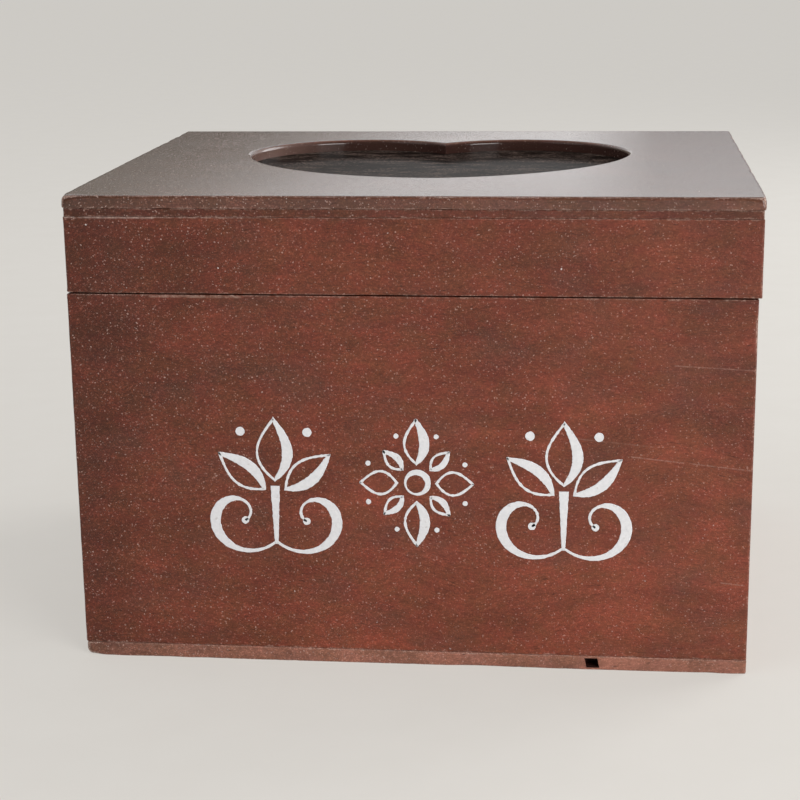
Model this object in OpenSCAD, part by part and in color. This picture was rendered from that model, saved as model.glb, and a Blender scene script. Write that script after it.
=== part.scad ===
// Wooden tea box: four compartments under a hinged lid with a heart-shaped window.
// The origin is the centre of the base board's underside. +X is right, +Y back, +Z up.
// Every size is in millimetres.

/* [Body] */
// Width of the body, left to right
box_w = 160; // [145:1:220]
// Depth of the body, front to back
box_d = 135; // [125:1:200]
// Height of the body, from its underside to the rim
body_h = 90.3; // [60:0.1:140]
// Thickness of the body walls and of the lid's rails
wall_t = 6; // [5:0.5:9]
// Thickness of the plywood base board
base_t = 3.4; // [2.4:0.1:6]
// How far the base board stands proud of the front panel
base_proud = 0.2; // [0:0.1:1]
// Thickness of the tongue that the corner rebate leaves on front and back boards
tongue_t = 3; // [1.5:0.5:4]
// Radius sanded on the outer edges
arris_r = 0.5; // [0.2:0.1:1]
// Radius sanded on the edges that meet at the seam and the glue lines
joint_arris_r = 0.2; // [0.1:0.05:0.4]

/* [Flaws in the base board] */
// Thickness of the plywood's face veneers, above and below its core
veneer_t = 0.5; // [0.3:0.1:0.9]
// Distance of the gap in the core from the middle of the front edge
gap_x = 43.4; // [15:0.1:45]
// Width of the gap
gap_w = 3.1; // [1:0.1:6]
// Depth of the gap behind the front edge
gap_d = 4; // [1:0.1:5]
// How far the gap leans to the right from top to bottom
gap_lean = 0.5; // [0:0.1:2]
// Reach of the worn front left corner along the front edge and the left edge
worn_l = 3.4; // [1:0.1:6]
// Height of the worn corner
worn_h = 1.8; // [0.5:0.1:2.2]

/* [Dividers] */
// Thickness of the dividers
divider_t = 3; // [2:0.5:5]
// Drop from the rim to the top of the dividers
divider_drop = 7; // [2:0.5:20]
// Depth of the grooves that hold the dividers
groove_d = 2; // [1:0.5:3]
// Clearance around a divider in its groove and in the cross lap
divider_clear = 0.1; // [0.05:0.05:0.3]

/* [Lid] */
// Height of the lid's rails
rail_h = 17.9; // [14:0.1:40]
// Thickness of the top board
top_t = 3; // [2:0.5:6]
// How much wider the lid is than the body, on each side
lid_over = 0.3; // [0:0.1:1]
// How far right of the body's middle the lid hangs on its hinges
lid_shift = 0.4; // [-1:0.1:1]
// How far the top board stands proud of the rails
board_proud = 0.25; // [0:0.05:0.6]
// How far the spacer frame lies back behind the rails' outer faces
spacer_back = 0.15; // [0:0.05:0.5]
// Gap between the body's rim and the closed lid
seam_gap = 0.3; // [0.1:0.1:1]

/* [Heart window] */
// Radius of the two lobes
lobe_r = 29.6; // [27:0.1:36]
// Distance of each lobe's centre from the heart's middle line
lobe_x = 21; // [15:0.1:24]
// Length from the line of the lobe centres to the blunt point
heart_len = 50.6; // [44:0.1:58]
// Radius of the long curved sides
side_r = 56; // [54:1:110]
// Radius of the blunt point
point_r = 8; // [4:0.5:12]
// How far the blunt point lies right of the heart's middle line
point_x = 3; // [-8:0.5:8]
// Place of the heart's middle line, right of the lid's middle
heart_x = 0.1; // [-4:0.1:4]
// Place of the lobe centres, behind the lid's middle
heart_y = 15.3; // [8:0.1:18]
// Radius rounded over on the window's upper edge
rim_r = 0.8; // [0.4:0.1:1.5]

/* [Glass and beads] */
// Thickness of the glass pane, and so of the spacer frame around it
glass_t = 2; // [2:0.5:4]
// Width of the spacer frame's members, from the rail's outer face to the glass opening
spacer_w = 12; // [10:0.5:15]
// Clearance around the glass pane
glass_clear = 0.5; // [0.2:0.1:1]
// How far the beads lap under the glass
glass_lap = 4; // [2:0.5:6]
// Height of the beads
bead_h = 4.5; // [3:0.5:8]
// Radius on the beads' free corner
bead_r = 2.5; // [1:0.1:2.8]
// Clearance between a bead and the rail beside it
bead_clear = 0.05; // [0.02:0.01:0.2]

/* [Hinges] */
// Length of a hinge along its pin
hinge_w = 22; // [18:1:34]
// Height of a leaf, from the pin's centre to its free edge
leaf_h = 11; // [9:0.5:13]
// Thickness of the leaf sheet
leaf_t = 1; // [0.8:0.1:1.5]
// Radius on the leaves' free corners
leaf_corner_r = 1.5; // [0.5:0.1:2.5]
// Radius of the hinge pin
hinge_pin_r = 0.95; // [0.7:0.05:1.5]
// Radial clearance of the pin in its knuckles
hinge_pin_clear = 0.05; // [0.02:0.01:0.1]
// Gap between neighbouring knuckles, and between a knuckle and the other leaf
knuckle_gap = 0.15; // [0.1:0.05:0.4]
// Gap between the barrel and the back of the box
barrel_gap = 0.1; // [0.05:0.05:0.5]
// Distance from the side of the body to the hinge
hinge_inset = 18; // [10:1:30]
// Thickness of the heads peened on the pin
pin_head_t = 0.5; // [0.3:0.1:1]

/* [Screws and brads] */
// Radius of the screw shanks
screw_r = 0.9; // [0.7:0.05:1.1]
// Radius of the countersunk screw heads
screw_head_r = 1.8; // [1.5:0.1:2.2]
// Wood left between the screw's tip and the far face of the wall
screw_skin = 1.5; // [1:0.1:2.5]
// Length of a screw's point
screw_tip_l = 1.8; // [1:0.1:2.5]
// Radius left at the end of a screw's point
screw_tip_r = 0.2; // [0.1:0.05:0.4]
// Distance from a leaf's edges to the screw centres
screw_edge = 4; // [3:0.1:4.5]
// Width of the cross recess in a screw head
recess_w = 0.5; // [0.3:0.1:0.7]
// Radius of the brads in the base board
brad_r = 0.6; // [0.4:0.05:0.8]
// Length of the brads in the base board
brad_l = 14; // [9:0.5:20]
// Radius of the heads of the base brads
brad_head_r = 1.1; // [0.9:0.1:1.5]
// Thickness of the heads of the base brads
brad_head_t = 0.6; // [0.4:0.1:1]
// Distance from the corner of the box to the nearest base brad
brad_inset = 20; // [12:1:30]
// Radius of the pins that hold the beads
bead_pin_r = 0.5; // [0.4:0.05:0.7]
// Radius of the heads of those pins
bead_pin_head_r = 0.8; // [0.75:0.05:1.1]
// Thickness of the heads of those pins
bead_pin_head_t = 0.5; // [0.3:0.1:0.8]
// Drop from the underside of the glass to the pins
bead_pin_drop = 1.5; // [1:0.1:2]
// Distance from the corner of the lid to the nearest bead pin
bead_pin_inset = 34; // [24:1:44]
// Wood left between a bead pin's tip and the outside of the rail
bead_pin_skin = 2; // [1:0.1:3]
// Radial clearance of screws, brads and pins in their holes
hole_clear = 0.05; // [0.02:0.01:0.1]

/* [Hidden] */

wood_color = "#6b3a2b";
top_color = "#7a4636";
inside_color = "#8a5a41";
brass_color = "#b08d4a";
steel_color = "#9a9a98";
glass_color = [0.75, 0.82, 0.82, 0.35];

over = 1; // how far a cutting shape runs past what it cuts
small_fn = 40; // facets of every small circle
lobe_n = 30; // steps along each arc of the heart
side_n = 12;
point_n = 6;
rim_n = 4; // steps up its rounded rim

rail_w = box_w + 2 * lid_over;
rail_z = body_h + seam_gap;
spacer_z = rail_z + rail_h;
top_z = spacer_z + glass_t;
lid_z = top_z + top_t;
board_w = rail_w + 2 * board_proud;
board_d = box_d + 2 * board_proud;
spacer_out_w = rail_w - 2 * spacer_back;
spacer_out_d = box_d - 2 * spacer_back;
wall_h = body_h - base_t;
divider_h = wall_h - divider_drop;
lap_h = divider_h / 2;
slot_t = divider_t + 2 * divider_clear;

glass_open_w = rail_w - 2 * spacer_w;
glass_open_d = box_d - 2 * spacer_w;
bead_w = spacer_w + glass_clear + glass_lap - wall_t - bead_clear;
bead_out_w = rail_w - 2 * (wall_t + bead_clear);
bead_out_d = box_d - 2 * (wall_t + bead_clear);
bead_pin_l = bead_w + bead_clear + wall_t - bead_pin_skin;

bore_r = hinge_pin_r + hinge_pin_clear;
barrel_r = bore_r + leaf_t;
axis_y = box_d / 2 + barrel_gap + barrel_r;
axis_z = body_h + seam_gap / 2;
hinge_x = box_w / 2 - hinge_inset - hinge_w / 2;
knuckles = 5;
knuckle_w = (hinge_w - (knuckles - 1) * knuckle_gap) / knuckles;
pin_head_r = bore_r + leaf_t / 2;
screw_l = leaf_t + wall_t - screw_skin;
screw_x = hinge_w / 2 - screw_edge;
screw_z = leaf_h - screw_edge;
screw_head_h = screw_head_r - screw_r;
recess_d = screw_head_h / 2;

// Centres of the heart's arcs, with the lobe centres on the X axis
function lobe_c(s) = [s * lobe_x, 0];
point_c = [point_x, point_r - heart_len];
// The point at distance rp from p and rq from q, left or right of the line from p to q
function meet(p, rp, q, rq, s) =
    let (d = q - p, l = norm(d), u = d / l, a = (rp * rp - rq * rq + l * l) / (2 * l))
    p + a * u + s * sqrt(rp * rp - a * a) * [-u[1], u[0]];
function side_c(s) = meet(lobe_c(s), side_r - lobe_r, point_c, side_r - point_r, -s);
function angle_of(v) = atan2(v[1], v[0]);

// Places of the base brads: three along the front and back, two along each side
brad_x = box_w / 2 - brad_inset;
brad_y = box_d / 2 - brad_inset - wall_t;
brad_row_x = box_w / 2 - wall_t / 2;
brad_row_y = box_d / 2 - wall_t / 2;
brad_spots = concat(
    [for (x = [-brad_x, 0, brad_x], s = [-1, 1]) [x, s * brad_row_y]],
    [for (y = [-brad_y, brad_y], s = [-1, 1]) [s * brad_row_x, y]]);

// A board's corner waste: what sanding to radius r takes off a corner at the origin
module corner_waste(r, sx, sy) {
    difference() {
        translate([sx > 0 ? 0 : -r, sy > 0 ? 0 : -r]) square(r);
        translate([sx * r, sy * r]) circle(r, $fn = small_fn);
    }
}

// A rectangle w wide that stands on the X axis, with radii at its lower and upper corners
module eased_rect(w, h, low_r, high_r) {
    difference() {
        translate([-w / 2, 0]) square([w, h]);
        for (s = [-1, 1]) {
            translate([s * w / 2, 0]) corner_waste(low_r, -s, 1);
            translate([s * w / 2, h]) corner_waste(high_r, -s, -1);
        }
    }
}

// A sanded block: upright edges to arris_r, lower and upper edges to their own radii
module eased_block(w, d, h, low_r, high_r) {
    intersection() {
        translate([0, -d / 2, 0]) linear_extrude(h) eased_rect(w, d, arris_r, arris_r);
        translate([0, d / 2, 0]) rotate([90, 0, 0]) linear_extrude(d) eased_rect(w, h, low_r, high_r);
        translate([-w / 2, 0, 0]) rotate([90, 0, 90])
            linear_extrude(w) eased_rect(d, h, low_r, high_r);
    }
}

// The long board of a rebated corner, at the front: full width, cut back behind the tongues
module long_board(w, h) {
    difference() {
        translate([-w / 2, -box_d / 2, 0]) cube([w, wall_t, h]);
        for (s = [-1, 1])
            translate([s * (w - wall_t) / 2 - wall_t / 2 - (s < 0 ? over : 0),
                       -box_d / 2 + tongue_t, -over])
                cube([wall_t + over, wall_t, h + 2 * over]);
    }
}

// The short board of a rebated corner, at the right: it fits between the tongues
module short_board(w, h) {
    translate([w / 2 - wall_t, -box_d / 2 + tongue_t, 0])
        cube([wall_t, box_d - 2 * tongue_t, h]);
}

module body_form() {
    translate([0, 0, base_t]) eased_block(box_w, box_d, wall_h, joint_arris_r, joint_arris_r);
}

module rail_form() {
    translate([lid_shift, 0, rail_z])
        eased_block(rail_w, box_d, rail_h, joint_arris_r, joint_arris_r);
}

module brad_bores() {
    for (p = brad_spots)
        translate([p[0], p[1], -over])
            cylinder(r = brad_r + hole_clear, h = brad_l + 2 * over, $fn = small_fn);
}

// Where the front or back panel takes the cross divider
module cross_groove() {
    translate([-slot_t / 2, -box_d / 2 + wall_t - groove_d, base_t - over])
        cube([slot_t, box_d - 2 * (wall_t - groove_d), wall_h + 2 * over]);
}

// Where the side panels take the long divider
module long_groove() {
    translate([-box_w / 2 + wall_t - groove_d, -slot_t / 2, base_t - over])
        cube([box_w - 2 * (wall_t - groove_d), slot_t, wall_h + 2 * over]);
}

// Pilot holes for the screws of one row of leaves, s = -1 in the body and 1 in the lid
module screw_bores(s) {
    for (x = [-hinge_x, hinge_x], e = [-screw_x, screw_x])
        translate([x + e, box_d / 2 + over, axis_z + s * screw_z]) rotate([90, 0, 0])
            cylinder(r = screw_r + hole_clear, h = screw_l - leaf_t + over + hole_clear, $fn = small_fn);
}

module base_panel() {
    d = box_d + base_proud;
    color(wood_color) difference() {
        translate([0, -base_proud / 2, 0]) eased_block(box_w, d, base_t, joint_arris_r, joint_arris_r);
        brad_bores();
        for (p = brad_spots)
            translate([p[0], p[1], -over])
                cylinder(r = brad_head_r + hole_clear, h = over + brad_head_t + 2 * hole_clear,
                         $fn = small_fn);
        translate([gap_x, gap_d - box_d / 2 - base_proud, 0]) rotate([90, 0, 0])
            linear_extrude(gap_d + over) gap_outline();
        worn_corner(-box_w / 2, -box_d / 2 - base_proud);
    }
}

// Outline of the gap in the core, between the face veneers
module gap_outline() {
    polygon([[-gap_w / 2, base_t - veneer_t], [gap_w / 2, base_t - veneer_t],
             [gap_w / 2 + gap_lean, veneer_t], [gap_lean - gap_w / 2, veneer_t]]);
}

// The worn corner is cut off by a slanting plane: a tetrahedron whose other three faces lie outside
module worn_corner(x, y) {
    slope = worn_h / worn_l;
    l = worn_l + 3 * over;
    translate([x - over, y - over, -slope * over])
        polyhedron(points = [[0, 0, 0], [l, 0, 0], [0, l, 0], [0, 0, slope * l]],
                   faces = [[0, 1, 2], [0, 3, 1], [0, 2, 3], [1, 3, 2]]);
}

module front_panel() {
    color(wood_color) difference() {
        intersection() {
            body_form();
            translate([0, 0, base_t]) long_board(box_w, wall_h);
        }
        cross_groove();
        brad_bores();
    }
}

module back_panel() {
    color(wood_color) difference() {
        intersection() {
            body_form();
            translate([0, 0, base_t]) rotate(180) long_board(box_w, wall_h);
        }
        cross_groove();
        brad_bores();
        screw_bores(-1);
    }
}

module side_panel(turn) {
    color(wood_color) difference() {
        intersection() {
            body_form();
            translate([0, 0, base_t]) rotate(turn) short_board(box_w, wall_h);
        }
        long_groove();
        brad_bores();
    }
}

module left_panel() { side_panel(180); }

module right_panel() { side_panel(0); }

// A divider of length l along X, with half its height slotted for the cross lap
module divider(l, slot_z) {
    translate([0, 0, base_t]) difference() {
        translate([-l / 2, -divider_t / 2, 0]) cube([l, divider_t, divider_h]);
        translate([-slot_t / 2, -divider_t, slot_z]) cube([slot_t, 2 * divider_t, lap_h + over]);
    }
}

module long_divider() {
    color(inside_color)
        divider(box_w - 2 * (wall_t - groove_d + divider_clear), lap_h - divider_clear);
}

module cross_divider() {
    color(inside_color) rotate(90)
        divider(box_d - 2 * (wall_t - groove_d + divider_clear), -over + divider_clear);
}

module base_brads() {
    color(steel_color) for (p = brad_spots)
        translate([p[0], p[1], hole_clear]) {
            cylinder(r = brad_r, h = brad_l, $fn = small_fn);
            cylinder(r = brad_head_r, h = brad_head_t, $fn = small_fn);
        }
}

// Outline of a rolled knuckle and its leaf, looking along the pin, with the pin at the origin
module knuckle_outline() {
    difference() {
        union() {
            circle(barrel_r, $fn = small_fn);
            translate([-barrel_r - barrel_gap, -leaf_h / 2]) square([leaf_t, leaf_h / 2]);
        }
        circle(bore_r, $fn = small_fn);
    }
}

// A leaf below its pin, flat on the back of the box. Its knuckles are the given ones of five.
module leaf(own) {
    difference() {
        union() {
            for (i = own)
                translate([-hinge_w / 2 + i * (knuckle_w + knuckle_gap), 0, 0]) rotate([90, 0, 90])
                    linear_extrude(knuckle_w) knuckle_outline();
            translate([0, -barrel_r - barrel_gap + leaf_t, -leaf_h]) rotate([90, 0, 0])
                linear_extrude(leaf_t)
                    eased_rect(hinge_w, leaf_h - barrel_r - knuckle_gap, leaf_corner_r, joint_arris_r);
        }
        for (x = [-screw_x, screw_x])
            translate([x, -barrel_r - barrel_gap + leaf_t, -screw_z]) rotate([90, 0, 0]) {
                cylinder(r = screw_r + hole_clear, h = leaf_t + over, $fn = small_fn);
                translate([0, 0, -over]) cylinder(r = screw_head_r + hole_clear, h = over, $fn = small_fn);
                cylinder(r1 = screw_head_r + hole_clear, r2 = screw_r + hole_clear,
                         h = screw_head_h, $fn = small_fn);
            }
    }
}

module body_leaf(s) {
    color(brass_color) translate([s * hinge_x, axis_y, axis_z]) leaf([0, 2, 4]);
}

module lid_leaf(s) {
    color(brass_color) translate([s * hinge_x, axis_y, axis_z]) mirror([0, 0, 1]) leaf([1, 3]);
}

module hinge_left_body_leaf() { body_leaf(-1); }

module hinge_right_body_leaf() { body_leaf(1); }

module hinge_left_lid_leaf() { lid_leaf(-1); }

module hinge_right_lid_leaf() { lid_leaf(1); }

// The pin runs through all the knuckles and is peened over at both ends
module hinge_pin(s) {
    color(brass_color) translate([s * hinge_x, axis_y, axis_z]) rotate([0, 90, 0]) {
        cylinder(r = hinge_pin_r, h = hinge_w + 2 * hinge_pin_clear, center = true, $fn = small_fn);
        for (e = [0, 1])
            mirror([0, 0, e]) translate([0, 0, hinge_w / 2 + hinge_pin_clear])
                cylinder(r1 = pin_head_r, r2 = hinge_pin_r, h = pin_head_t, $fn = small_fn);
    }
}

module hinge_left_pin() { hinge_pin(-1); }

module hinge_right_pin() { hinge_pin(1); }

// A countersunk screw with its head at the origin, pointing along +Z
module screw() {
    difference() {
        union() {
            cylinder(r1 = screw_head_r, r2 = screw_r, h = screw_head_h, $fn = small_fn);
            cylinder(r = screw_r, h = screw_l - screw_tip_l, $fn = small_fn);
            translate([0, 0, screw_l - screw_tip_l])
                cylinder(r1 = screw_r, r2 = screw_tip_r, h = screw_tip_l, $fn = small_fn);
        }
        for (a = [0, 90])
            rotate(a) translate([-screw_r, -recess_w / 2, -over])
                cube([2 * screw_r, recess_w, over + recess_d]);
    }
}

module screw_row(s) {
    color(brass_color) for (x = [-hinge_x, hinge_x], e = [-screw_x, screw_x])
        translate([x + e, box_d / 2 + leaf_t - hole_clear, axis_z + s * screw_z])
            rotate([90, 0, 0]) screw();
}

module body_hinge_screws() { screw_row(-1); }

module lid_hinge_screws() { screw_row(1); }

// Points along an arc from one angle to the next, without the last, which starts the next arc
function arc(c, r, from, to, n) =
    [for (i = [0:n - 1]) let (a = from + (to - from) * i / n) c + r * [cos(a), sin(a)]];

// The heart's outline, counter-clockwise and moved outward by o. All its arcs run smoothly into
// each other but for the cleft, so each keeps its centre and its angles as its radius grows.
function heart_ring(o) =
    let (right = angle_of(lobe_c(1) - side_c(1)), left = angle_of(lobe_c(-1) - side_c(-1)),
         point_right = angle_of(point_c - side_c(1)), point_left = angle_of(point_c - side_c(-1)),
         cleft = acos(lobe_x / (lobe_r + o)))
    concat(arc(lobe_c(1), lobe_r + o, right, 180 - cleft, lobe_n),
           arc(lobe_c(-1), lobe_r + o, cleft, left + 360, lobe_n),
           arc(side_c(-1), side_r + o, left, point_left, side_n),
           arc(point_c, point_r + o, point_left, point_right, point_n),
           arc(side_c(1), side_r + o, point_right, right, side_n));

// What the cutter takes out of the top board, whose top face is at z = 0. Below the rounded rim
// its rings are the heart itself, and up the rim they step outward along a quarter circle.
module window_cut() {
    rim = [for (i = [0:rim_n]) let (a = 90 * i / rim_n) [rim_r * (sin(a) - 1), rim_r * (1 - cos(a))]];
    levels = concat([[-top_t - over, 0]], rim, [[over, rim_r]]);
    n = len(heart_ring(0));
    top = len(levels) - 1;
    polyhedron(
        points = [for (l = levels) for (p = heart_ring(l[1])) [p[0], p[1], l[0]]],
        faces = concat([[for (i = [0:n - 1]) i]], [[for (i = [n - 1:-1:0]) top * n + i]],
                       [for (k = [0:top - 1], i = [0:n - 1])
                           let (j = (i + 1) % n) [k * n + i, (k + 1) * n + i, (k + 1) * n + j, k * n + j]]));
}

module lid_top_board() {
    color(top_color) difference() {
        translate([lid_shift, 0, top_z])
            eased_block(board_w, board_d, top_t, joint_arris_r, arris_r);
        translate([lid_shift + heart_x, heart_y, lid_z]) window_cut();
    }
}

module lid_spacer_frame() {
    color(wood_color) difference() {
        translate([lid_shift, 0, spacer_z])
            eased_block(spacer_out_w, spacer_out_d, glass_t, joint_arris_r, joint_arris_r);
        translate([lid_shift - glass_open_w / 2, -glass_open_d / 2, spacer_z - over])
            cube([glass_open_w, glass_open_d, glass_t + 2 * over]);
    }
}

module glass_pane() {
    w = glass_open_w - 2 * glass_clear;
    d = glass_open_d - 2 * glass_clear;
    color(glass_color) translate([lid_shift - w / 2, -d / 2, spacer_z]) cube([w, d, glass_t]);
}

// Section of a bead: its wall side on the Y axis, its top on the X axis, its free corner round
module bead_section() {
    difference() {
        translate([0, -bead_h]) square([bead_w, bead_h]);
        translate([bead_w, -bead_h]) corner_waste(bead_r, -1, 1);
    }
}

// A bead along a side that is l long and d from the lid's middle, mitred at both ends
module bead(l, d) {
    difference() {
        intersection() {
            translate([-l / 2, -d, spacer_z]) rotate([90, 0, 90]) linear_extrude(l) bead_section();
            translate([0, 0, spacer_z - bead_h - over]) linear_extrude(bead_h + 2 * over)
                polygon([[-l / 2, -d], [l / 2, -d], [l / 2 - bead_w, bead_w - d],
                         [bead_w - l / 2, bead_w - d]]);
        }
        bead_pin_bores(l, d);
    }
}

function bead_pin_spots(l) = [-l / 2 + bead_pin_inset, l / 2 - bead_pin_inset];

module bead_pin_bores(l, d) {
    for (x = bead_pin_spots(l))
        translate([x, bead_w - d, spacer_z - bead_pin_drop]) rotate([90, 0, 0]) {
            translate([0, 0, -over])
                cylinder(r = bead_pin_r + hole_clear, h = bead_pin_l + over + hole_clear, $fn = small_fn);
            translate([0, 0, -over])
                cylinder(r = bead_pin_head_r + hole_clear, h = over + bead_pin_head_t + hole_clear,
                         $fn = small_fn);
        }
}

module bead_pin_row(l, d) {
    for (x = bead_pin_spots(l))
        translate([x, bead_w - d, spacer_z - bead_pin_drop]) rotate([90, 0, 0]) {
            cylinder(r = bead_pin_r, h = bead_pin_l, $fn = small_fn);
            cylinder(r = bead_pin_head_r, h = bead_pin_head_t, $fn = small_fn);
        }
}

module lid_frame() { translate([lid_shift, 0, 0]) children(); }

module bead_front() { color(inside_color) lid_frame() bead(bead_out_w, bead_out_d / 2); }

module bead_back() { color(inside_color) lid_frame() rotate(180) bead(bead_out_w, bead_out_d / 2); }

module bead_left() { color(inside_color) lid_frame() rotate(-90) bead(bead_out_d, bead_out_w / 2); }

module bead_right() { color(inside_color) lid_frame() rotate(90) bead(bead_out_d, bead_out_w / 2); }

module bead_pins() {
    color(steel_color) lid_frame() for (a = [0, 180]) {
        rotate(a) bead_pin_row(bead_out_w, bead_out_d / 2);
        rotate(a + 90) bead_pin_row(bead_out_d, bead_out_w / 2);
    }
}

module lid_front_rail() {
    color(wood_color) difference() {
        intersection() {
            rail_form();
            translate([lid_shift, 0, rail_z]) long_board(rail_w, rail_h);
        }
        lid_frame() bead_pin_bores(bead_out_w, bead_out_d / 2);
    }
}

module lid_back_rail() {
    color(wood_color) difference() {
        intersection() {
            rail_form();
            translate([lid_shift, 0, rail_z]) rotate(180) long_board(rail_w, rail_h);
        }
        lid_frame() rotate(180) bead_pin_bores(bead_out_w, bead_out_d / 2);
        screw_bores(1);
    }
}

module side_rail(turn) {
    color(wood_color) difference() {
        intersection() {
            rail_form();
            translate([lid_shift, 0, rail_z]) rotate(turn) short_board(rail_w, rail_h);
        }
        lid_frame() rotate(turn + 90) bead_pin_bores(bead_out_d, bead_out_w / 2);
    }
}

module lid_left_rail() { side_rail(180); }

module lid_right_rail() { side_rail(0); }

base_panel();
front_panel();
back_panel();
left_panel();
right_panel();
long_divider();
cross_divider();
base_brads();
hinge_left_body_leaf();
hinge_right_body_leaf();
hinge_left_pin();
hinge_right_pin();
body_hinge_screws();
lid_top_board();
lid_spacer_frame();
glass_pane();
bead_front();
bead_back();
bead_left();
bead_right();
bead_pins();
lid_front_rail();
lid_back_rail();
lid_left_rail();
lid_right_rail();
hinge_left_lid_leaf();
hinge_right_lid_leaf();
lid_hinge_screws();
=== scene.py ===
"""A wooden tea box with a heart-shaped window in its lid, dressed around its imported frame, in metres."""
import math

import bmesh
import bpy
from mathutils import Matrix, Vector, noise


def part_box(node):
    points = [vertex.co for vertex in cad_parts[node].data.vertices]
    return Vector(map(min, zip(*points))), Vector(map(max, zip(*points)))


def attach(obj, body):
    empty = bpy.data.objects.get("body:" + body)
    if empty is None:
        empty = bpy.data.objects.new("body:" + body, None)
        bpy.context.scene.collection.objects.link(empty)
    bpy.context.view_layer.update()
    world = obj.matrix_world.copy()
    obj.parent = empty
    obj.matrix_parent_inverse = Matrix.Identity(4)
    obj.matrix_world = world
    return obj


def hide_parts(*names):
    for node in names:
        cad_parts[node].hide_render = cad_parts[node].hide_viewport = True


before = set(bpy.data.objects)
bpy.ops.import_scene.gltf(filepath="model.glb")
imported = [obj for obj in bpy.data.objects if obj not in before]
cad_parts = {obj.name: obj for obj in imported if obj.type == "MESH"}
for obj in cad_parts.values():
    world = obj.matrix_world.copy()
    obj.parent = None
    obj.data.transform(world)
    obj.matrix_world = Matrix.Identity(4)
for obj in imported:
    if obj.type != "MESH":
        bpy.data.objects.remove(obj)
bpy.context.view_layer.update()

# Base board
# A thin plywood board under the whole box, nailed up into its walls and stained with them. Knocks have worn
# its edges and taken its front left corner, and its core has a short gap behind the front edge, painted dark
# inside with the raw core's colour and painted shade.
mm = 0.001
band = 7  # rows of cells beside each arris


def stations(low, high, step):
    """Places along one side of a board: close together at its arrises, about a step apart between them."""
    rim = min(1.7 * mm, 0.45 * (high - low))
    close = [rim * (i / band) ** 1.5 for i in range(band + 1)]
    count = max(1, round((high - low - 2 * rim) / step))
    between = [low + rim + (high - low - 2 * rim) * i / count for i in range(1, count)]
    return [low + c for c in close] + between + [high - c for c in reversed(close)]


def arris_radius(place, low, high, arris, wear, dents):
    """Radius rounded on a board's edge near a place: as sanded, and more where it is worn or knocked."""
    from_low, from_high = place.z - low.z, high.z - place.z
    reach = min(1.5 * mm, 0.5 * (high.z - low.z))
    ends = arris[0] if from_low < from_high else arris[2]
    radius = ends + (arris[1] - ends) * min(1, min(from_low, from_high) / reach)
    radius *= 1 + 0.3 * noise.noise(place / (4 * mm))
    radius += wear * max(0, noise.noise(place / (7 * mm)) - 0.12)
    radius += 0.7 * wear * max(0, noise.noise(place / (1.6 * mm)) - 0.3)
    for middle, spread, depth in dents:
        radius += depth * math.exp(-((place - middle).length / spread) ** 2)
    return min(radius, 0.45 * min(high - low))


def worn_board(name, low, high, arris, wear, step=0.8 * mm, dents=()):
    """A board from corner to corner. arris holds the radii of its lower, upright and upper edges, wear how
    much more knocks have taken off, and each dent its middle, its spread and its depth."""
    sides = [stations(low[axis], high[axis], step) for axis in range(3)]
    last = [len(side) - 1 for side in sides]
    board = bmesh.new()
    made = {}

    def corner(index):
        if index not in made:
            place = Vector([sides[axis][index[axis]] for axis in range(3)])
            radius = arris_radius(place, low, high, arris, wear, dents)
            core = Vector([
                min(max(place[axis], low[axis] + radius), high[axis] - radius) for axis in range(3)])
            made[index] = board.verts.new(core + radius * (place - core).normalized())
        return made[index]

    for axis in range(3):
        a, b = (axis + 1) % 3, (axis + 2) % 3
        for end in (0, last[axis]):
            for outline in cells(last[a], last[b]):
                loop = []
                for u, v in outline:
                    index = [0, 0, 0]
                    index[axis], index[a], index[b] = end, u, v
                    loop.append(corner(tuple(index)))
                board.faces.new(loop if end else loop[::-1])
    return finished(name, board)


def cells(across, up):
    """Outlines of a board face's cells, by the numbers of their stations: small ones beside the arrises and,
    where the face is wide enough, one in its middle."""
    wide = across > 2 * band + 1 and up > 2 * band + 1
    right, top = across - band, up - band
    for i in range(across):
        for j in range(up):
            if not (wide and band <= i < right and band <= j < top):
                yield (i, j), (i + 1, j), (i + 1, j + 1), (i, j + 1)
    if wide:
        yield ([(i, band) for i in range(band, right)] + [(right, j) for j in range(band, top)]
               + [(i, top) for i in range(right, band, -1)] + [(band, j) for j in range(top, band, -1)])


def finished(name, made):
    """An object from a bmesh, put in the scene."""
    mesh = bpy.data.meshes.new(name)
    made.to_mesh(mesh)
    made.free()
    piece = bpy.data.objects.new(name, mesh)
    bpy.context.scene.collection.objects.link(piece)
    return piece


def cut(piece, cutter):
    """Takes a cutter out of a piece. The cutter is used up."""
    modifier = piece.modifiers.new("cut", "BOOLEAN")
    modifier.object = cutter
    modifier.solver = "EXACT"
    whole = bpy.context.evaluated_depsgraph_get()
    mesh = bpy.data.meshes.new_from_object(piece.evaluated_get(whole))
    piece.modifiers.remove(modifier)
    mesh.name = piece.name
    piece.data = mesh
    bpy.data.objects.remove(cutter)


def prism(low_outline, high_outline):
    """A closed cutter between two like outlines, each a list of places."""
    made = bmesh.new()
    low_ring = [made.verts.new(place) for place in low_outline]
    high_ring = [made.verts.new(place) for place in high_outline]
    made.faces.new(low_ring[::-1])
    made.faces.new(high_ring)
    for i, vert in enumerate(low_ring):
        j = (i + 1) % len(low_ring)
        made.faces.new((vert, low_ring[j], high_ring[j], high_ring[i]))
    return finished("cutter", made)


def block(low, high):
    """A cutter with square corners."""
    outline = [(low.x, low.y), (high.x, low.y), (high.x, high.y), (low.x, high.y)]
    return prism([(x, y, low.z) for x, y in outline], [(x, y, high.z) for x, y in outline])


def linear(code):
    """The linear colour of an sRGB hex code."""
    parts = [int(code[i:i + 2], 16) / 255 for i in (0, 2, 4)]
    return [c / 12.92 if c < 0.0405 else ((c + 0.055) / 1.055) ** 2.4 for c in parts] + [1]


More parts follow.
